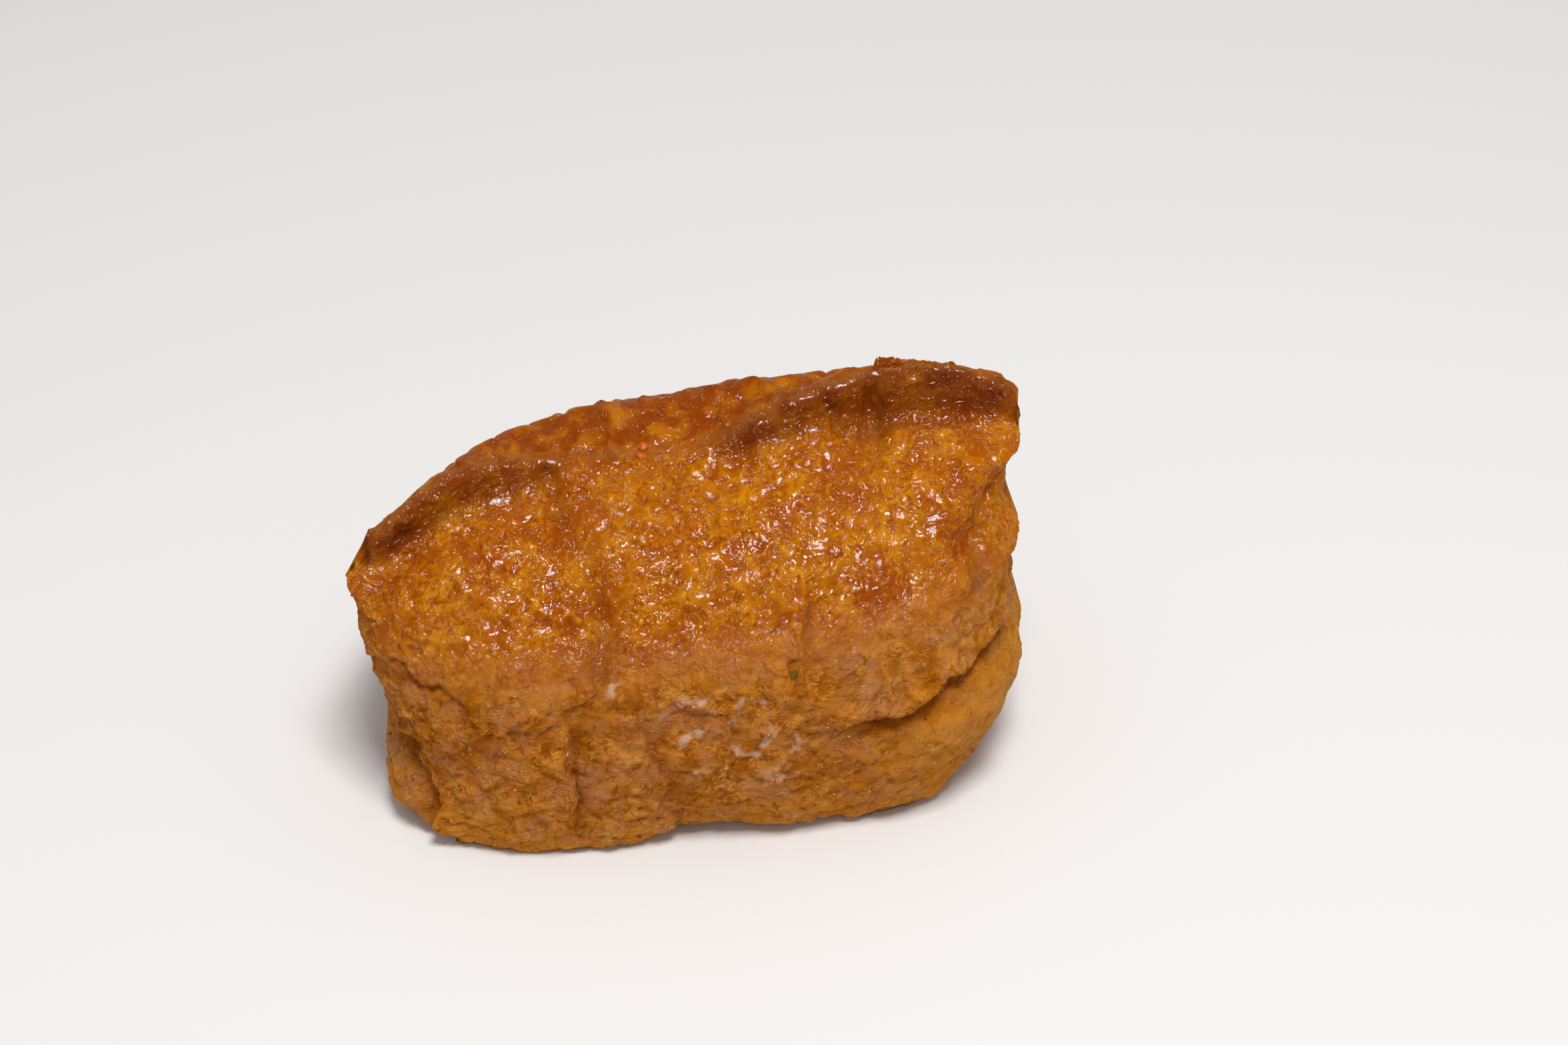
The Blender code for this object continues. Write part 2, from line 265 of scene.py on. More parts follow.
def stations_along(size):
    """Evenly spread places along the rounded plan outline, and the section's width at each."""
    angle = np.linspace(0, np.pi, 4001)
    along = -np.sign(np.cos(angle)) * np.abs(np.cos(angle)) ** (2 / END_SQUARENESS)
    width = np.abs(np.sin(angle)) ** (2 / END_SQUARENESS)
    keep = width >= END_SEAM_WIDTH
    along = along[keep]
    width = width[keep]
    travel = np.hypot(np.diff(along * size[0] / 2), np.diff(width * size[1] / 2))
    travel = np.concatenate([[0], np.cumsum(travel)])
    even = np.linspace(0, travel[-1], STATION_COUNT)
    return np.interp(even, travel, along), np.interp(even, travel, width)


def pouch_loft(along, width):
    """The smooth skin on a (round, along) grid: the rails narrowed to the end seams by the width
    of the section, joined by a closed curve, then stretched along X by each end's reach."""
    seam = np.interp(along, (-1, 1), (LEFT_SEAM_Y, RIGHT_SEAM_Y))
    rails = []
    for steps, across, height in RAILS.values():
        y = smooth_curve(STATIONS, across, along)
        z = smooth_curve(STATIONS, height, along)
        rails.append(np.stack([seam + (y - seam) * width, z], axis=-1))
    loop = closed_spline(np.array(rails), [rail[0] for rail in RAILS.values()])
    y, z = loop[..., 0], loop[..., 1]
    left_z, left_reach = zip(*LEFT_REACH)
    right_z, right_reach = zip(*RIGHT_REACH)
    leftward = smooth_curve(left_z, left_reach, z)
    rightward = smooth_curve(right_z, right_reach, z)
    return np.stack([along * np.where(along < 0, leftward, rightward), y, z], axis=-1)


def outward(points):
    """Unit directions out of the skin, from the differences between neighbouring points."""
    round_step = np.roll(points, -1, axis=0) - np.roll(points, 1, axis=0)
    along_step = np.gradient(points, axis=1)
    normal = np.cross(along_step, round_step)
    return normal / np.maximum(np.linalg.norm(normal, axis=-1, keepdims=True), 1e-9)


def offset_from_route(points, route):
    """The way to each point from the nearest place on a chain of straight stretches."""
    nearest = np.full(points.shape[:-1], np.inf)
    offset = np.zeros(points.shape)
    route = np.asarray(route, float)
    for start, end in zip(route[:-1], route[1:]):
        stretch = end - start
        t = np.clip((points - start) @ stretch / (stretch @ stretch), 0, 1)
        way = points - start - t[..., None] * stretch
        away = np.linalg.norm(way, axis=-1)
        closer = away < nearest
        nearest = np.where(closer, away, nearest)
        offset = np.where(closer[..., None], way, offset)
    return offset


def bell(points, route, half_width):
    """1 on the route, fading with distance as a bell curve of this half width."""
    away = np.linalg.norm(offset_from_route(points, route), axis=-1)
    return np.exp(-((away / half_width) ** 2))


def ease(value, low, high):
    """0 below low, 1 above high, and a smooth S between them."""
    t = np.clip((value - low) / (high - low), 0, 1)
    return t * t * (3 - 2 * t)


def lattice_number(cell, seed):
    """A number from 0 to 1 for each whole-number cell: its three counts multiplied and mixed."""
    cell = cell.astype(np.int64).astype(np.uint32)
    mixed = cell[..., 0] * np.uint32(374761393) + cell[..., 1] * np.uint32(668265263)
    mixed = mixed + cell[..., 2] * np.uint32(2246822519) + np.uint32(seed * 40503 + 9176)
    mixed = (mixed ^ (mixed >> np.uint32(15))) * np.uint32(2654435761)
    mixed = (mixed ^ (mixed >> np.uint32(13))) * np.uint32(1274126177)
    mixed = mixed ^ (mixed >> np.uint32(16))
    return (mixed & np.uint32(0xFFFFFF)) / float(0x1000000)


def swell(points, size, seed):
    """Smooth gradient noise, about -1 to 1, whose swells are about this size across: each lattice
    corner has a random slope, and the slopes are blended with a quintic fade."""
    place = points / size
    base = np.floor(place)
    part = place - base
    fade = part**3 * (part * (part * 6 - 15) + 10)
    total = np.zeros(points.shape[:-1])
    for corner in np.ndindex(2, 2, 2):
        corner = np.array(corner)
        cell = base + corner
        slope = np.stack([lattice_number(cell, seed + k) * 2 - 1 for k in (0, 101, 202)], axis=-1)
        weight = np.prod(np.where(corner == 1, fade, 1 - fade), axis=-1)
        total += weight * np.sum(slope * (part - corner), axis=-1)
    return total * 1.6


def swells(points, size, seed, octaves=3, falloff=0.5):
    """Noise of this size with finer octaves added, each half the size of the one before."""
    total = np.zeros(points.shape[:-1])
    for octave in range(octaves):
        total += falloff**octave * swell(points, size / 2**octave, seed + 17 * octave)
    return total


def wander(points, size, seed):
    """How far each point strays: three lots of noise of this size side by side, for X, Y and Z."""
    return np.stack([swells(points, size, seed + k, 2) for k in range(3)], axis=-1)


def facets(points, size, seed):
    """Distance to the nearest border between scattered cells, as a share of the cell size: the
    difference between the two shortest distances to the cells' random centres."""
    place = points / size
    base = np.floor(place)
    first = np.full(points.shape[:-1], 9.0)
    second = np.full(points.shape[:-1], 9.0)
    for offset in np.ndindex(3, 3, 3):
        cell = base + np.array(offset) - 1
        centre = np.stack([lattice_number(cell, seed + k) for k in (0, 101, 202)], axis=-1)
        away = np.linalg.norm(cell + centre - place, axis=-1)
        second = np.minimum(second, np.maximum(first, away))
        first = np.minimum(first, away)
    return second - first


def wriggle(points, size, line, seed, bend=0.6):
    """Thin wandering threads, 1 on a thread and 0 away from it: where bent noise of this size
    crosses zero, within a band of width line."""
    stray = np.stack([swell(points, size * 0.7, seed + k) for k in (5, 6, 7)], axis=-1)
    bent = points + bend * size * stray
    return np.exp(-((swell(bent, size, seed) / line) ** 2))


low, high = (np.array(corner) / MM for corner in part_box("pouch"))
along, width = stations_along(high - low)
smooth_skin = pouch_loft(along, width)

normal = outward(smooth_skin)
fold = np.zeros(smooth_skin.shape[:-1])
for depth, half_width, route in FOLDS.values():
    fold -= depth * bell(smooth_skin, route, half_width)
for height, half_width, route in PUFFS.values():
    fold += height * bell(smooth_skin, route, half_width)

# A lap's edge wanders off its route, stands a little proud, and has its shadow painted on the skin just
# under it.
LAP_WANDER = 0.9
LAP_EDGE_RAISE = 0.35
LAP_EDGE_WIDTH = 1.1
LAP_SHADOW_WIDTH = 0.9
lap_wander = LAP_WANDER * wander(smooth_skin, 3.5, 71)
lap_shadow = np.zeros(smooth_skin.shape[:-1])
for drop, fade, side, route in LAPS.values():
    offset = offset_from_route(smooth_skin + lap_wander, route)
    away = np.linalg.norm(offset, axis=-1)
    lower = ease(offset @ (np.array(side) / np.linalg.norm(side)), -0.15, 0.3)
    fold -= drop * lower * np.exp(-away / fade)
    fold += LAP_EDGE_RAISE * drop * (1 - lower) * np.exp(-((away / LAP_EDGE_WIDTH) ** 2))
    lap_shadow = np.maximum(lap_shadow, lower * np.exp(-away / LAP_SHADOW_WIDTH))
folded = smooth_skin + normal * fold[..., None]

# Zones of the skin: the hollow face of each ear, the crest of the ridge, the panel behind it,
# and the slack top above the shoulder against the drawn-tight wall below.
CREST_ROWS = 5.0
HOLLOW_ROWS = 15.0
BACK_ROWS = 12
rail_row = dict(zip(RAILS, np.cumsum([0] + [rail[0] for rail in RAILS.values()])))
row = np.arange(len(smooth_skin))[:, None] * np.ones_like(along)
crest_row = rail_row["crest_front"] + RAILS["crest_front"][0] / 2
hollow_row = (rail_row["valley"] + rail_row["crest_front"]) / 2 + 2
crest_zone = np.exp(-(((row - crest_row) / CREST_ROWS) ** 2))
ear_along = np.maximum(ease(along, -0.30, -0.55), ease(along, -0.02, 0.22))
hollow_zone = np.exp(-(((row - hollow_row) / HOLLOW_ROWS) ** 4)) * ear_along
back_zone = ease(row, crest_row, crest_row + BACK_ROWS)
shoulder_height = smooth_curve(STATIONS, RAILS["shoulder"][2], along)
top_zone = ease(folded[..., 2], shoulder_height - 4.0, shoulder_height + 2.5)

# Height of each kind of wrinkle, in mm.
SLACK_SWELL = 0.35
TOP_SWELL = 0.18
TOP_THREADS = 0.24
TOP_FINE_THREADS = 0.19
WALL_CELLS = 0.22
WALL_CREASES = 0.20
WALL_FIBRES = 0.22
BACK_CELLS = 0.35
BACK_SWELL = 0.10
CREST_TATTERS = 0.30

bent = folded + 1.4 * wander(folded, 4.5, 51)
top_relief = TOP_SWELL * swells(folded, 3.2, 23, 2)
top_relief += TOP_THREADS * wriggle(folded, 2.8, 0.13, 31)
top_relief += TOP_FINE_THREADS * wriggle(folded, 1.9, 0.16, 37)
wall_relief = WALL_CELLS * ease(facets(bent, 4.4, 57), 0.0, 0.22)
wall_relief -= WALL_CREASES * wriggle(folded, 2.8, 0.10, 41)
wall_relief += WALL_FIBRES * swells(folded * (0.6, 1.0, 1.4), 1.9, 67, 3)
back_relief = BACK_CELLS * ease(facets(bent, 4.4, 91), 0.0, 0.28)
back_relief += BACK_SWELL * swells(folded, 2.0, 93, 2)
upper_relief = top_relief * (1 - back_zone) + back_relief * back_zone
fine = top_zone * upper_relief + (1 - top_zone) * wall_relief
fine -= fine.mean()
ragged = crest_zone * (CREST_TATTERS * swells(folded * (1.0, 1.0, 0.6), 2.2, 61, 3) - 0.1)
calm = 1 - 0.5 * np.maximum(crest_zone, 0.6 * hollow_zone)
relief = (SLACK_SWELL * swells(folded, 7.0, 11, 2) + fine) * calm + ragged
relief *= ease(folded[..., 2], 0.0, 0.7)
skin = folded + normal * relief[..., None]
skin[..., 2] = np.where(skin[..., 2] < SEAT_HEIGHT, 0, skin[..., 2])
skin = (skin - LOFT_MIDDLE) * LOFT_STRETCH


def skin_faces(around, along_count):
    """Quads of the grid, which closes round the pouch, and a ladder of quads over each end."""
    i, j = np.meshgrid(np.arange(around), np.arange(along_count - 1), indexing="ij")
    here = i * along_count + j
    above = (i + 1) % around * along_count + j
    grid = np.stack([here, here + 1, above + 1, above], axis=-1).reshape(-1, 4)
    rung = np.arange(around // 2)
    far, near = (-rung) % around, (-rung - 1) % around
    right = np.stack([rung, far, near, rung + 1], axis=-1) * along_count + along_count - 1
    left = np.stack([rung, rung + 1, near, far], axis=-1) * along_count
    return np.concatenate([grid, left, right])


def mesh_of(name, points, faces):
    """A mesh of these points and four-cornered faces; a face whose corners repeat loses them."""
    mesh = bpy.data.meshes.new(name)
    corners = [list(dict.fromkeys(face)) for face in faces.tolist()]
    mesh.from_pydata(points.reshape(-1, 3), [], corners)
    mesh.shade_smooth()
    mesh.validate()
    return mesh


tofu_mesh = mesh_of("tofu_skin", skin * MM, skin_faces(*skin.shape[:2]))
tofu_skin = bpy.data.objects.new("tofu_skin", tofu_mesh)
bpy.context.scene.collection.objects.link(tofu_skin)


def paint(mesh, name, values):
    """Stores one number for each point of the mesh, for its material to read."""
    layer = mesh.attributes.new(name, "FLOAT", "POINT")
    layer.data.foreach_set("value", np.ascontiguousarray(values, np.float32).ravel())


# Rice shows through where the skin is thinnest, as pale grains just under it.
RICE_LENGTH = 2.4
RICE_HALF_WIDTH = 1.0
RICE_GRAINS = (
    # middle of the grain, its lean from level in degrees
    ((-3, -17, 17), 20), ((-1, -17, 17.5), -15), ((3, -17, 16), 60), ((5, -17, 18), -40),
    ((-1, -18, 14), 20), ((4, -18, 12), -30), ((6.5, -18, 10), 35), ((8, -18, 9), -10),
    ((5.5, -17, 5), 15), ((10, -17, 4), 25), ((8.5, -17, 3), -20), ((0, -18, 10), 5),
    ((6, -18, 13.5), 60), ((9, -18, 13), 80), ((3, -18, 8), 0), ((-8, -16, 19), 70),
)
rice = np.zeros(skin.shape[:-1])
blurred = smooth_skin + 0.7 * wander(smooth_skin, 2.2, 111)
for middle, lean in RICE_GRAINS:
    half = RICE_LENGTH / 2 * np.array([np.cos(np.radians(lean)), 0, np.sin(np.radians(lean))])
    grain = (np.array(middle) - half, np.array(middle) + half)
    rice = np.maximum(rice, bell(blurred, grain, RICE_HALF_WIDTH))

paint(tofu_mesh, "top", top_zone)
paint(tofu_mesh, "back", back_zone * top_zone)
# The hollow number steers a dark red-brown that is partly painted shade.
paint(tofu_mesh, "hollow", hollow_zone)
paint(tofu_mesh, "crest", crest_zone)
# The crease number is painted shade: under the edge of each lap and along each fold.
paint(tofu_mesh, "crease", np.clip(lap_shadow + 0.7 * np.clip(-fold, 0, 1), 0, 1))
# The relief number steers painted shade in the wrinkles' hollows and painted sheen on the wall's raised
# wrinkles.
paint(tofu_mesh, "relief", np.clip(0.5 + fine / 0.9, 0, 1))
paint(tofu_mesh, "rice", rice)
paint(tofu_mesh, "foot", 1 - ease(skin[..., 2], 1.0, 10.0))
paint(tofu_mesh, "lobe", bell(smooth_skin, PUFFS["flap_lobe"][2], 4.6))


def new_material(name):
    """An empty node material with a Principled shader on its output, and a helper to add nodes."""
    material = bpy.data.materials.new(name)
    material.use_nodes = True
    tree = material.node_tree
    shader = tree.nodes["Principled BSDF"]

    def add(kind, links=(), **settings):
        node = tree.nodes.new(kind)
        for key, value in settings.items():
            if key in node.bl_rna.properties:
                setattr(node, key, value)
            else:
                node.inputs[key.replace("_", " ")].default_value = value
        for target, source in dict(links).items():
            tree.links.new(source, node.inputs[target])
        return node

    return material, tree, shader, add


tofu_material, tree, shader, add = new_material("glazed_tofu_skin")
coordinates = add("ShaderNodeTexCoord").outputs["Object"]
in_mm = add("ShaderNodeMapping", {"Vector": coordinates}, Scale=(1000, 1000, 1000)).outputs["Vector"]


def attribute(name):
    """A number painted on the mesh."""
    return add("ShaderNodeAttribute", attribute_name=name).outputs["Fac"]


def noise(size, detail=2.0, roughness=0.5, distortion=0.0, vector=None):
    """Noise from 0 to 1 whose swells are this many mm across."""
    node = add("ShaderNodeTexNoise", {"Vector": vector or in_mm})
    node.inputs["Scale"].default_value = 1 / size
    node.inputs["Detail"].default_value = detail
    node.inputs["Roughness"].default_value = roughness
    node.inputs["Distortion"].default_value = distortion
    return node.outputs["Fac"]


def band(value, low, high, to_low=0.0, to_high=1.0):
    """A smooth S from to_low, where the value is low, to to_high, where it is high."""
    node = add("ShaderNodeMapRange", {"Value": value})
    node.interpolation_type = "SMOOTHSTEP"
    node.inputs["From Min"].default_value = low
    node.inputs["From Max"].default_value = high
    node.inputs["To Min"].default_value = to_low
    node.inputs["To Max"].default_value = to_high
    return node.outputs["Result"]


def math(operation, a, b=0.0):
    """One sum on numbers or on other nodes' values."""
    node = add("ShaderNodeMath")
    node.operation = operation
    for socket, value in zip(node.inputs, (a, b)):
        if isinstance(value, (int, float)):
            socket.default_value = value
        else:
            tree.links.new(value, socket)
    return node.outputs["Value"]


def blend(factor, a, b):
    """The first colour where the factor is 0, the second where it is 1."""
    node = add("ShaderNodeMix")
    node.data_type = "RGBA"
    for socket, value in ((node.inputs[0], factor), (node.inputs[6], a), (node.inputs[7], b)):
        if isinstance(value, tuple):
            socket.default_value = (*value, 1.0)
        elif isinstance(value, float):
            socket.default_value = value
        else:
            tree.links.new(value, socket)
    return node.outputs[2]


def lay(under, over, where, strength):
    """Lays one colour over another where the factor says, at this strength."""
    return blend(math("MULTIPLY", where, strength), under, over)


AMBER = (0.47, 0.134, 0.001)
GOLDEN = (0.60, 0.222, 0.002)
RUSSET = (0.33, 0.062, 0.001)
# Painted shade for the thin creases between the wrinkles on the top.
WRINKLE_SHADE_DARK = (0.22, 0.034, 0.001)
WRINKLE_PALE = (0.64, 0.29, 0.014)
WALL_BROWN = (0.32, 0.083, 0.001)
# Painted sheen: the milky haze of soft light mirrored by the wet wall.
WALL_PAINTED_SHEEN = (0.53, 0.195, 0.024)
# Painted sheen: purple-grey patches of the same haze.
WALL_GREY_SHEEN = (0.44, 0.160, 0.044)
WALL_GOLD = (0.51, 0.180, 0.004)
FOOT_GOLD = (0.62, 0.235, 0.02)
WALL_FIBRE = (0.66, 0.31, 0.060)
BACK_BROWN = (0.27, 0.045, 0.001)
# Partly the thick skin's deeper red, partly painted shade of the hollows under the ears.
HOLLOW_SHADE_RED = (0.150, 0.020, 0.001)
CREST_BROWN = (0.28, 0.095, 0.022)
# Painted shade for creases, pits, the skin under laps and the folds.
PAINTED_CREASE_SHADE = (0.22, 0.040, 0.001)
RICE_PALE = (0.60, 0.38, 0.26)


def threads(size, line, patch, low, high, distortion=0.8, vector=None):
    """Thin raised wrinkles where noise of this size crosses its middle, only in some patches."""
    away = math("ABSOLUTE", math("SUBTRACT", noise(size, 1.0, 0.5, distortion, vector), 0.5))
    return math("MULTIPLY", band(away, 0.0, line, 1.0, 0.0), band(noise(patch, 1.0), low, high))


top = attribute("top")
relief_high = attribute("relief")

top_colour = blend(band(noise(4.5, 4.0, 0.55, 0.5), 0.42, 0.66), AMBER, RUSSET)
top_colour = blend(band(noise(3.0, 4.0, 0.6, 0.6), 0.52, 0.74), top_colour, GOLDEN)
top_colour = blend(band(noise(1.7, 4.0, 0.62, 0.5), 0.46, 0.34, 0.0, 0.55), top_colour, RUSSET)
# Painted shade: russet darkens the hollows of the fine wrinkles, and their crests turn golden.
top_colour = blend(band(relief_high, 0.55, 0.20, 0.0, 0.85), top_colour, RUSSET)
top_colour = blend(band(relief_high, 0.60, 0.85, 0.0, 0.6), top_colour, GOLDEN)
# Painted shade: thin dark lines drawn as the creases between the top's wrinkles.
top_colour = lay(top_colour, WRINKLE_SHADE_DARK, threads(1.6, 0.045, 2.0, 0.38, 0.50, 1.0), 0.75)
top_colour = lay(top_colour, WRINKLE_PALE, threads(1.2, 0.035, 1.8, 0.42, 0.54, 1.0), 0.5)
back_colour = blend(band(noise(2.6, 4.0, 0.6), 0.42, 0.68), BACK_BROWN, AMBER)
# Painted shade: the hollows between the back panel's cells are darkened.
back_colour = blend(band(relief_high, 0.45, 0.2, 0.0, 0.7), back_colour, HOLLOW_SHADE_RED)
top_colour = blend(attribute("back"), top_colour, back_colour)

wall_mapping = add("ShaderNodeMapping", {"Vector": coordinates}, Scale=(750, 1000, 1150))
wall_stretch = wall_mapping.outputs["Vector"]
# Painted sheen: a milky haze in patches, strongest on the wall's raised wrinkles, over the wall's own
# brown.
painted_sheen = band(noise(1.5, 5.0, 0.68, 0.6, wall_stretch), 0.37, 0.63)
painted_sheen = math("MULTIPLY", painted_sheen, band(relief_high, 0.25, 0.60, 0.35, 1.0))
wall_colour = blend(painted_sheen, WALL_BROWN, WALL_PAINTED_SHEEN)
wall_colour = lay(wall_colour, FOOT_GOLD, attribute("foot"), 0.5)
# Painted sheen: purple-grey patches of haze.
wall_colour = blend(band(noise(3.6, 4.0, 0.62, 0.8), 0.50, 0.62, 0.0, 0.75), wall_colour, WALL_GREY_SHEEN)
wall_colour = blend(band(noise(2.4, 4.0, 0.6, 0.8), 0.54, 0.68, 0.0, 0.6), wall_colour, WALL_GOLD)
# Painted shade: dark lines along the wall's bumped creases.
wall_colour = lay(wall_colour, PAINTED_CREASE_SHADE, threads(2.4, 0.030, 2.4, 0.42, 0.54, 1.2), 0.55)
fibres = threads(1.3, 0.035, 2.0, 0.42, 0.54, 1.2, wall_stretch)
wall_colour = lay(wall_colour, WALL_FIBRE, fibres, 0.6)
# Painted shade: small dark pits on the wall.
pit_shade = band(noise(1.0, 3.0, 0.6, 0.4, wall_stretch), 0.41, 0.33)
wall_colour = lay(wall_colour, PAINTED_CREASE_SHADE, pit_shade, 0.7)
wall_colour = lay(wall_colour, WALL_GOLD, attribute("lobe"), 0.75)

colour = blend(top, wall_colour, top_colour)
# The hollow under each ear's crest turns dark red-brown in patches: partly the thicker skin's own deeper
# red, partly painted shade of the hollow.
hollow_shade_patches = band(noise(3.5, 2.0, 0.5, 0.4), 0.34, 0.66, 1.0, 0.5)
colour = lay(colour, HOLLOW_SHADE_RED, attribute("hollow"), hollow_shade_patches)
crest_patches = band(noise(1.2, 3.0), 0.35, 0.65, 0.1, 0.7)
colour = lay(colour, CREST_BROWN, attribute("crest"), crest_patches)
# Painted shade: under each lap and down each fold.
colour = lay(colour, PAINTED_CREASE_SHADE, attribute("crease"), 0.7)
rice_patches = math("MULTIPLY", attribute("rice"), noise(1.0, 3.0, 0.7))
colour = lay(colour, RICE_PALE, band(rice_patches, 0.30, 0.58), 0.75)
tree.links.new(colour, shader.inputs["Base Color"])

# Wrinkles and clusters of tiny blisters on the glazed top, fibres on the wall. The skin takes
# them softly and the glaze crisply, in metres.
SOFT_BUMP = 0.00005
CRISP_BUMP = 0.00018
GLAZE_ROUGHNESS = 0.04
GLAZE_IOR = 1.6
blister_cells = add("ShaderNodeTexVoronoi", {"Vector": in_mm}, Scale=2.6)
blisters = band(blister_cells.outputs["Distance"], 0.6, 0.0)
blisters = math("MULTIPLY", blisters, band(noise(1.9, 1.0), 0.50, 0.60))
fine_threads = math("MULTIPLY", threads(1.0, 0.08, 1.8, 0.40, 0.52), 0.7)
top_height = math("ADD", threads(2.0, 0.06, 2.6, 0.36, 0.48), fine_threads)
top_height = math("ADD", top_height, math("MULTIPLY", blisters, 0.8))
creases = math("MULTIPLY", threads(2.4, 0.04, 2.4, 0.42, 0.54, 1.2), -1.5)
wall_height = math("MULTIPLY", noise(1.1, 4.0, 0.65, 0.8, wall_stretch), 8.0)
height = blend(top, math("ADD", wall_height, creases), top_height)
height = math("ADD", height, math("MULTIPLY", noise(0.45, 3.0, 0.65), 0.5))
soft_bump = add("ShaderNodeBump", {"Height": height}, Strength=1.0, Distance=SOFT_BUMP)
crisp_bump = add("ShaderNodeBump", {"Height": height}, Strength=1.0, Distance=CRISP_BUMP)
tree.links.new(soft_bump.outputs["Normal"], shader.inputs["Normal"])
tree.links.new(crisp_bump.outputs["Normal"], shader.inputs["Coat Normal"])

dry_wall = band(noise(0.9, 3.0), 0.35, 0.65, 0.5, 0.7)
tree.links.new(blend(top, dry_wall, (0.45, 0.45, 0.45)), shader.inputs["Roughness"])
wet_wall = math("MAXIMUM", band(noise(4.5, 3.0), 0.46, 0.60, 0.25, 0.95), attribute("lobe"))
tree.links.new(blend(top, wet_wall, (1.0, 1.0, 1.0)), shader.inputs["Coat Weight"])
shader.inputs["Specular IOR Level"].default_value = 0.0
shader.inputs["Subsurface Weight"].default_value = 0.35
shader.inputs["Subsurface Radius"].default_value = (1.0, 0.35, 0.08)
shader.inputs["Subsurface Scale"].default_value = 0.001
shader.inputs["Coat Roughness"].default_value = GLAZE_ROUGHNESS
shader.inputs["Coat IOR"].default_value = GLAZE_IOR

tofu_mesh.materials.append(tofu_material)
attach(tofu_skin, "root")
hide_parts("pouch")

# ---------------------------------------------------------------------------------------------
# The torn lip
#
# Where the sheet was cut open, a strip of its edge has torn and curled up behind the right ear,
# with thinner flakes of the same skin along the crest. They are one piece with the skin's glaze.

LIP_LEAVES = (
    # start along the crest, length, height, half thickness and lean back, mm; seed
    (18.2, 6.2, 1.9, 0.11, 0.5, 3),
    (20.2, 2.6, 0.8, 0.06, -0.2, 5),
    (22.6, 3.2, 0.6, 0.08, 0.6, 8),
    (25.6, 3.0, 0.55, 0.08, 0.1, 13),
    (-24.0, 2.6, 0.4, 0.08, 0.5, 21),
)
LIP_ROUND = 28
LIP_ALONG = 64


def crest_place(x):
    """The highest point of the skin near each x, from the row along the crest."""
    crest = skin[int(crest_row)]
    return np.stack([np.interp(x, crest[:, 0], crest[:, axis]) for axis in range(3)], axis=-1)


def leaf(start, length, height, thickness, lean, seed):
    """A torn strip standing on the crest: at each place along it a flat ellipse, whose height
    rises quickly, then falls away with a ragged edge; its first end is rolled and thicker."""
    u = np.linspace(0, 1, LIP_ALONG)
    v = np.linspace(0, 2 * np.pi, LIP_ROUND, endpoint=False)[:, None]
    foot = crest_place(start + length * u)
    ragged = swells(np.stack([u * length, u * 0, u * 0], axis=-1), 0.9, seed, 3)
    rise = ease(u, 0, 0.07) * (1 - u) ** 1.6 * (1 + 0.35 * ragged)
    blunt_ends = np.sin(np.pi * np.clip(u, 0.001, 0.999)) ** 0.3
    tall = (height * rise + 0.4) * blunt_ends
    roll = np.exp(-(((u - 0.09) / 0.06) ** 2))
    thick = thickness * (1 + 2.5 * roll) * blunt_ends
    up = (np.sin(v) + 1) / 2
    x = foot[:, 0] + 0.25 * swells(foot + seed, 1.1, seed + 40, 2) * up
    y = foot[:, 1] - thick * np.cos(v) + lean * up**1.5 * tall / 2 + 0.3 * ragged * up
    z = foot[:, 2] - 0.5 + tall * up
    return np.stack([x + 0 * v, y, z], axis=-1)


leaves = [leaf(*settings) for settings in LIP_LEAVES]
leaf_points = np.concatenate([points.reshape(-1, 3) for points in leaves])
leaf_size = LIP_ROUND * LIP_ALONG
one_leaf = skin_faces(LIP_ROUND, LIP_ALONG)
leaf_faces = np.concatenate([one_leaf + leaf_size * k for k in range(len(leaves))])
lip_mesh = mesh_of("torn_lip", leaf_points * MM, leaf_faces)
paint(lip_mesh, "top", np.ones(len(leaf_points)))
# The lip takes the ears' dark red-brown, which is partly painted shade, at three quarters.
paint(lip_mesh, "hollow", np.full(len(leaf_points), 0.75))
paint(lip_mesh, "relief", np.full(len(leaf_points), 0.5))
lip_mesh.materials.append(tofu_material)
torn_lip = bpy.data.objects.new("torn_lip", lip_mesh)
bpy.context.scene.collection.objects.link(torn_lip)
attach(torn_lip, "root")

# ---------------------------------------------------------------------------------------------
# Flecks of the filling and the broth
#
# A crumb of carrot on the ridge, two red specks, a sliver of green leaf and two dark specks lie
# in the glaze. Each kind is one piece of small pressed beads, half sunk in the skin.

BEAD_ROUND = 20
BEAD_RINGS = 13


def bead(place, size, lean=0.0, seed=1):
    """A closed bead on the skin: a sphere of rings stretched to size, leaned and dented by noise.
    Its middle is at the skin's nearest point."""
    around = np.linspace(0, 2 * np.pi, BEAD_ROUND, endpoint=False)[:, None]
    down = np.linspace(0.04, np.pi - 0.04, BEAD_RINGS)
    x = np.sin(down) * np.cos(around)
    y = np.sin(down) * np.sin(around)
    ball = np.stack([x, y, np.cos(down) + 0 * around], axis=-1)
    dents = 1 + 0.25 * swells(ball + seed * 3.7, 0.9, seed, 2)[..., None]
    ball = ball * dents * np.array(size) / 2
    turn = np.radians(lean)
    x, y, z = np.moveaxis(ball, -1, 0)
    leaned_x = x * np.cos(turn) - z * np.sin(turn)
    leaned_z = x * np.sin(turn) + z * np.cos(turn)
    ball = np.stack([leaned_x, y, leaned_z], axis=-1)
    nearest = np.argmin(np.linalg.norm(skin - np.array(place), axis=-1))
    return ball + skin.reshape(-1, 3)[nearest]


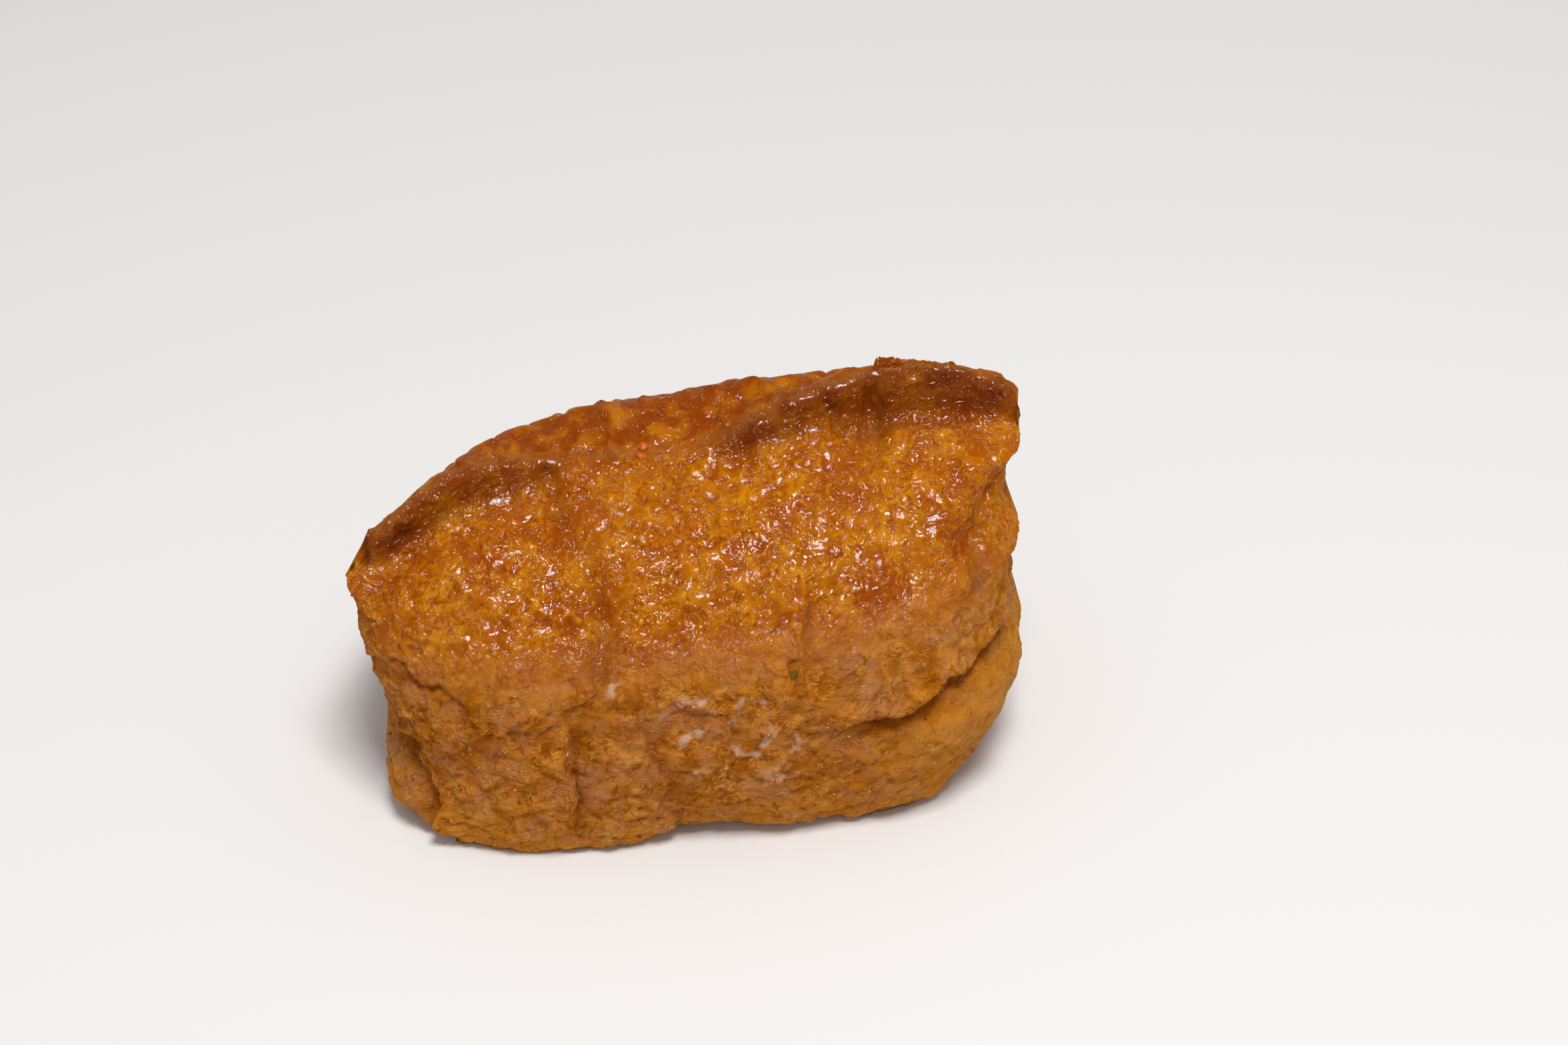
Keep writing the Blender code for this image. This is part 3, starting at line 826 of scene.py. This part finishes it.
def fleck_piece(name, beads, inner, outer, gloss):
    """One piece of several beads, whose material runs from the inner colour to the outer in
    patches of half a millimetre, under the same glaze."""
    bead_size = BEAD_ROUND * BEAD_RINGS
    one_bead = skin_faces(BEAD_ROUND, BEAD_RINGS)
    faces = [one_bead + bead_size * k for k in range(len(beads))]
    points = np.concatenate([one.reshape(-1, 3) for one in beads])
    mesh = mesh_of(name, points * MM, np.concatenate(faces))
    material, tree, shader, add = new_material(name + "_flesh")
    place = add("ShaderNodeTexCoord").outputs["Object"]
    patches = add("ShaderNodeTexNoise", {"Vector": place}, Scale=2200.0, Detail=4.0)
    mixed = add("ShaderNodeMix", data_type="RGBA")
    mixed.inputs[6].default_value = (*inner, 1)
    mixed.inputs[7].default_value = (*outer, 1)
    tree.links.new(patches.outputs["Fac"], mixed.inputs[0])
    tree.links.new(mixed.outputs[2], shader.inputs["Base Color"])
    bump = add("ShaderNodeBump", {"Height": patches.outputs["Fac"]}, Strength=0.6, Distance=0.00005)
    tree.links.new(bump.outputs["Normal"], shader.inputs["Normal"])
    shader.inputs["Roughness"].default_value = 0.35
    shader.inputs["Coat Weight"].default_value = gloss
    shader.inputs["Coat Roughness"].default_value = 0.1
    mesh.materials.append(material)
    piece = bpy.data.objects.new(name, mesh)
    bpy.context.scene.collection.objects.link(piece)
    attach(piece, "root")


carrot = [
    bead((-3.8, 4.6, 31.9), (1.0, 1.2, 0.8), 20, 2),
    bead((-4.0, 3.5, 31.8), (1.1, 0.9, 0.7), -20, 5),
    bead((1.5, -17.0, 17.7), (0.45, 0.35, 0.4), 0, 7),
    bead((-17.8, -18.3, 8.8), (0.35, 0.3, 0.35), 0, 9),
]
fleck_piece("carrot_crumbs", carrot, (0.54, 0.06, 0.001), (0.68, 0.14, 0.002), 0.5)
leaf_sliver = [bead((8.5, -16.4, 19.3), (0.42, 0.35, 1.9), -32, 11)]
fleck_piece("green_sliver", leaf_sliver, (0.07, 0.075, 0.004), (0.17, 0.15, 0.03), 0.3)
dark_speck = [
    bead((22.8, -15.9, 10.1), (0.35, 0.3, 0.3), 0, 15),
    bead((21.2, -15.9, 12.4), (0.2, 0.2, 0.2), 0, 19),
]
fleck_piece("dark_specks", dark_speck, (0.03, 0.008, 0.002), (0.08, 0.02, 0.004), 0.3)

# ---------------------------------------------------------------------------------------------
# The table
#
# A plain pale sheet that the pouch stands on. It is only a stage, and lies a hair under the
# skin's base. Rays that a glossy surface mirrors see it warmer and dimmer than it is.

FLOOR_REACH = 1.2
FLOOR_DROP = 0.00005
FLOOR_COLOUR = (0.80, 0.78, 0.76)
FLOOR_IN_GLAZE = (0.30, 0.24, 0.16)
floor_mesh = bpy.data.meshes.new("floor")
corners = FLOOR_REACH * np.array([(-1, -1), (1, -1), (1, 1), (-1, 1)])
floor_mesh.from_pydata([(x, y, -FLOOR_DROP) for x, y in corners], [], [(0, 1, 2, 3)])
floor = bpy.data.objects.new("floor", floor_mesh)
bpy.context.scene.collection.objects.link(floor)
floor_material, floor_tree, floor_shader, floor_add = new_material("pale_table")
floor_tint = floor_add("ShaderNodeMix", data_type="RGBA")
floor_tint.inputs[6].default_value = (*FLOOR_COLOUR, 1)
floor_tint.inputs[7].default_value = (*FLOOR_IN_GLAZE, 1)
floor_tree.links.new(floor_add("ShaderNodeLightPath").outputs["Is Glossy Ray"], floor_tint.inputs[0])
floor_tree.links.new(floor_tint.outputs[2], floor_shader.inputs["Base Color"])
floor_shader.inputs["Roughness"].default_value = 0.7
floor_mesh.materials.append(floor_material)

# ---------------------------------------------------------------------------------------------
# Light and camera
#
# A soft box hangs above and in front of the pouch, with pale light all round. The camera looks
# down on the front of the pouch through a long lens.

SOFT_BOX_PLACE = Vector((0.05, -0.15, 0.53))
SOFT_BOX_SIZE = 0.16
SOFT_BOX_POWER = 2.35
AROUND_LIGHT = 0.45
AROUND_GLOSS = 0.03
AIM = Vector((0, 0, 0.015))

soft_box = bpy.data.lights.new("soft_box", "AREA")
soft_box.shape = "SQUARE"
soft_box.size = SOFT_BOX_SIZE
soft_box.energy = SOFT_BOX_POWER
soft_box_object = bpy.data.objects.new("soft_box", soft_box)
soft_box_object.location = SOFT_BOX_PLACE
soft_box_object.rotation_euler = (AIM - SOFT_BOX_PLACE).to_track_quat("-Z", "Y").to_euler()
bpy.context.scene.collection.objects.link(soft_box_object)

# The pale surround lights the pouch evenly. Rays that a glossy surface mirrors see it much
# dimmer, so that the glaze shows mostly the soft box.
world = bpy.data.worlds.new("studio")
world.use_nodes = True
world_nodes = world.node_tree.nodes
world_nodes["Background"].inputs["Color"].default_value = (0.97, 0.98, 1.0, 1)
ray = world_nodes.new("ShaderNodeLightPath")
level = world_nodes.new("ShaderNodeMapRange")
level.inputs["To Min"].default_value = AROUND_LIGHT
level.inputs["To Max"].default_value = AROUND_GLOSS
world.node_tree.links.new(ray.outputs["Is Glossy Ray"], level.inputs["Value"])
world.node_tree.links.new(level.outputs["Result"], world_nodes["Background"].inputs["Strength"])
bpy.context.scene.world = world
bpy.context.scene.view_settings.view_transform = "Standard"

CAMERA_PLACE = Vector((-0.01143, -0.21848, 0.20183))
CAMERA_FORWARD = Vector((0.0738, 0.7744, -0.6284))
CAMERA_UP = Vector((0.0581, 0.6257, 0.7779))
CAMERA_LENS = 67.2

camera = bpy.data.cameras.new("camera")
camera.lens = CAMERA_LENS
camera.sensor_width = 36
camera.clip_start = 0.01
camera_object = bpy.data.objects.new("camera", camera)
forward = CAMERA_FORWARD.normalized()
right = forward.cross(CAMERA_UP).normalized()
turn = Matrix((right, right.cross(forward), -forward)).transposed().to_4x4()
camera_object.matrix_world = Matrix.Translation(CAMERA_PLACE) @ turn
bpy.context.scene.collection.objects.link(camera_object)
bpy.context.scene.camera = camera_object
